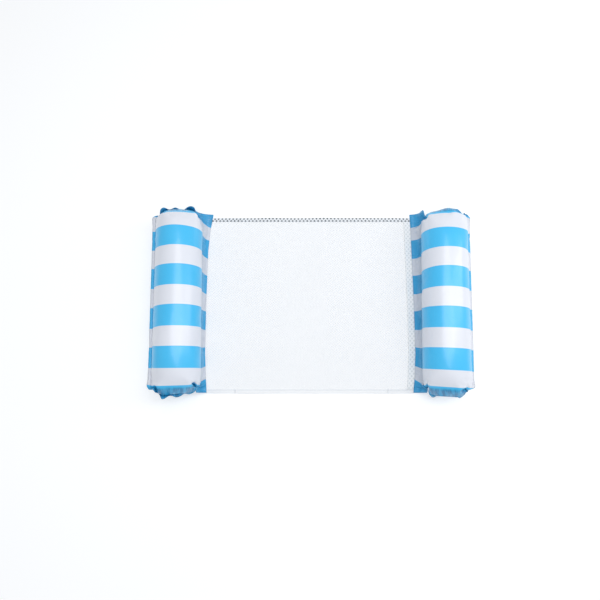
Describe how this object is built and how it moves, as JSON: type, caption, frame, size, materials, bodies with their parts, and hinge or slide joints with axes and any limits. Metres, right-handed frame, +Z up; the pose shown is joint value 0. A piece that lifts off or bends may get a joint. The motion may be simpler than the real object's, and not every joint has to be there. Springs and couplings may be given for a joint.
{
  "type": "inflatable pool float",
  "caption": "Water hammock: two striped inflated pillows joined by a net seat with hemmed edges, each pillow with its own inflation valve.",
  "frame": {"origin": "on the ground under the middle of the net", "axes": "+X from the head pillow to the foot pillow, +Y across the float to its back hem, +Z up"},
  "size_m": [1.2002, 0.728, 0.172],
  "materials": {
    "printed_film": "glossy",
    "printed_film_underside": "glossy",
    "net": "matte",
    "hem_tape": "matte",
    "thread": "matte",
    "valve_moulding": "satin",
    "valve_plug": "satin",
    "check_film": "satin"
  },
  "bodies": {
    "net_head_side": {"net_head_half": "net", "front_hem_head_half": "hem_tape", "back_hem_head_half": "hem_tape", "front_stitching_head_half": "thread", "back_stitching_head_half": "thread"},
    "net_foot_side": {"net_foot_half": "net", "front_hem_foot_half": "hem_tape", "back_hem_foot_half": "hem_tape", "front_stitching_foot_half": "thread", "back_stitching_foot_half": "thread"},
    "head_pillow": {"head_upper_panel": "printed_film", "head_lower_panel": "printed_film_underside", "head_net_tab": "net", "head_valve_body": "valve_moulding", "head_valve_tether": "valve_plug"},
    "head_plug": {"head_valve_plug": "valve_plug"},
    "head_check": {"head_check_flap": "check_film"},
    "foot_pillow": {"foot_upper_panel": "printed_film", "foot_lower_panel": "printed_film_underside", "foot_net_tab": "net", "foot_valve_body": "valve_moulding", "foot_valve_tether": "valve_plug"},
    "foot_plug": {"foot_valve_plug": "valve_plug"},
    "foot_check": {"foot_check_flap": "check_film"}
  },
  "joints": [
    {"name": "net_fold", "type": "hinge", "parent": "net_head_side", "child": "net_foot_side", "pos_m": [0, 0, 0.0007], "axis": [0, -1, 0], "range_deg": [-90, 100]},
    {"name": "head_pillow_swing", "type": "hinge", "parent": "net_head_side", "child": "head_pillow", "pos_m": [-0.39485, 0, 0.0007], "axis": [0, 1, 0], "range_deg": [-100, 75]},
    {"name": "foot_pillow_swing", "type": "hinge", "parent": "net_foot_side", "child": "foot_pillow", "pos_m": [0.39485, 0, 0.0007], "axis": [0, -1, 0], "range_deg": [-100, 75]},
    {"name": "head_plug_pull", "type": "slide", "parent": "head_pillow", "child": "head_plug", "axis": [-0.8192, 0, -0.5736], "range_m": [0, 0.01], "deforming": ["head_valve_tether"]},
    {"name": "head_check_open", "type": "hinge", "parent": "head_pillow", "child": "head_check", "pos_m": [-0.57506, -0.15, 0.04246], "axis": [0, -1, 0], "range_deg": [0, 40], "stiffness_Nm_per_rad": 0.0002},
    {"name": "foot_plug_pull", "type": "slide", "parent": "foot_pillow", "child": "foot_plug", "axis": [0.8192, 0, -0.5736], "range_m": [0, 0.01], "deforming": ["foot_valve_tether"]},
    {"name": "foot_check_open", "type": "hinge", "parent": "foot_pillow", "child": "foot_check", "pos_m": [0.57506, 0.15, 0.04246], "axis": [0, 1, 0], "range_deg": [0, 40], "stiffness_Nm_per_rad": 0.0002}
  ]
}
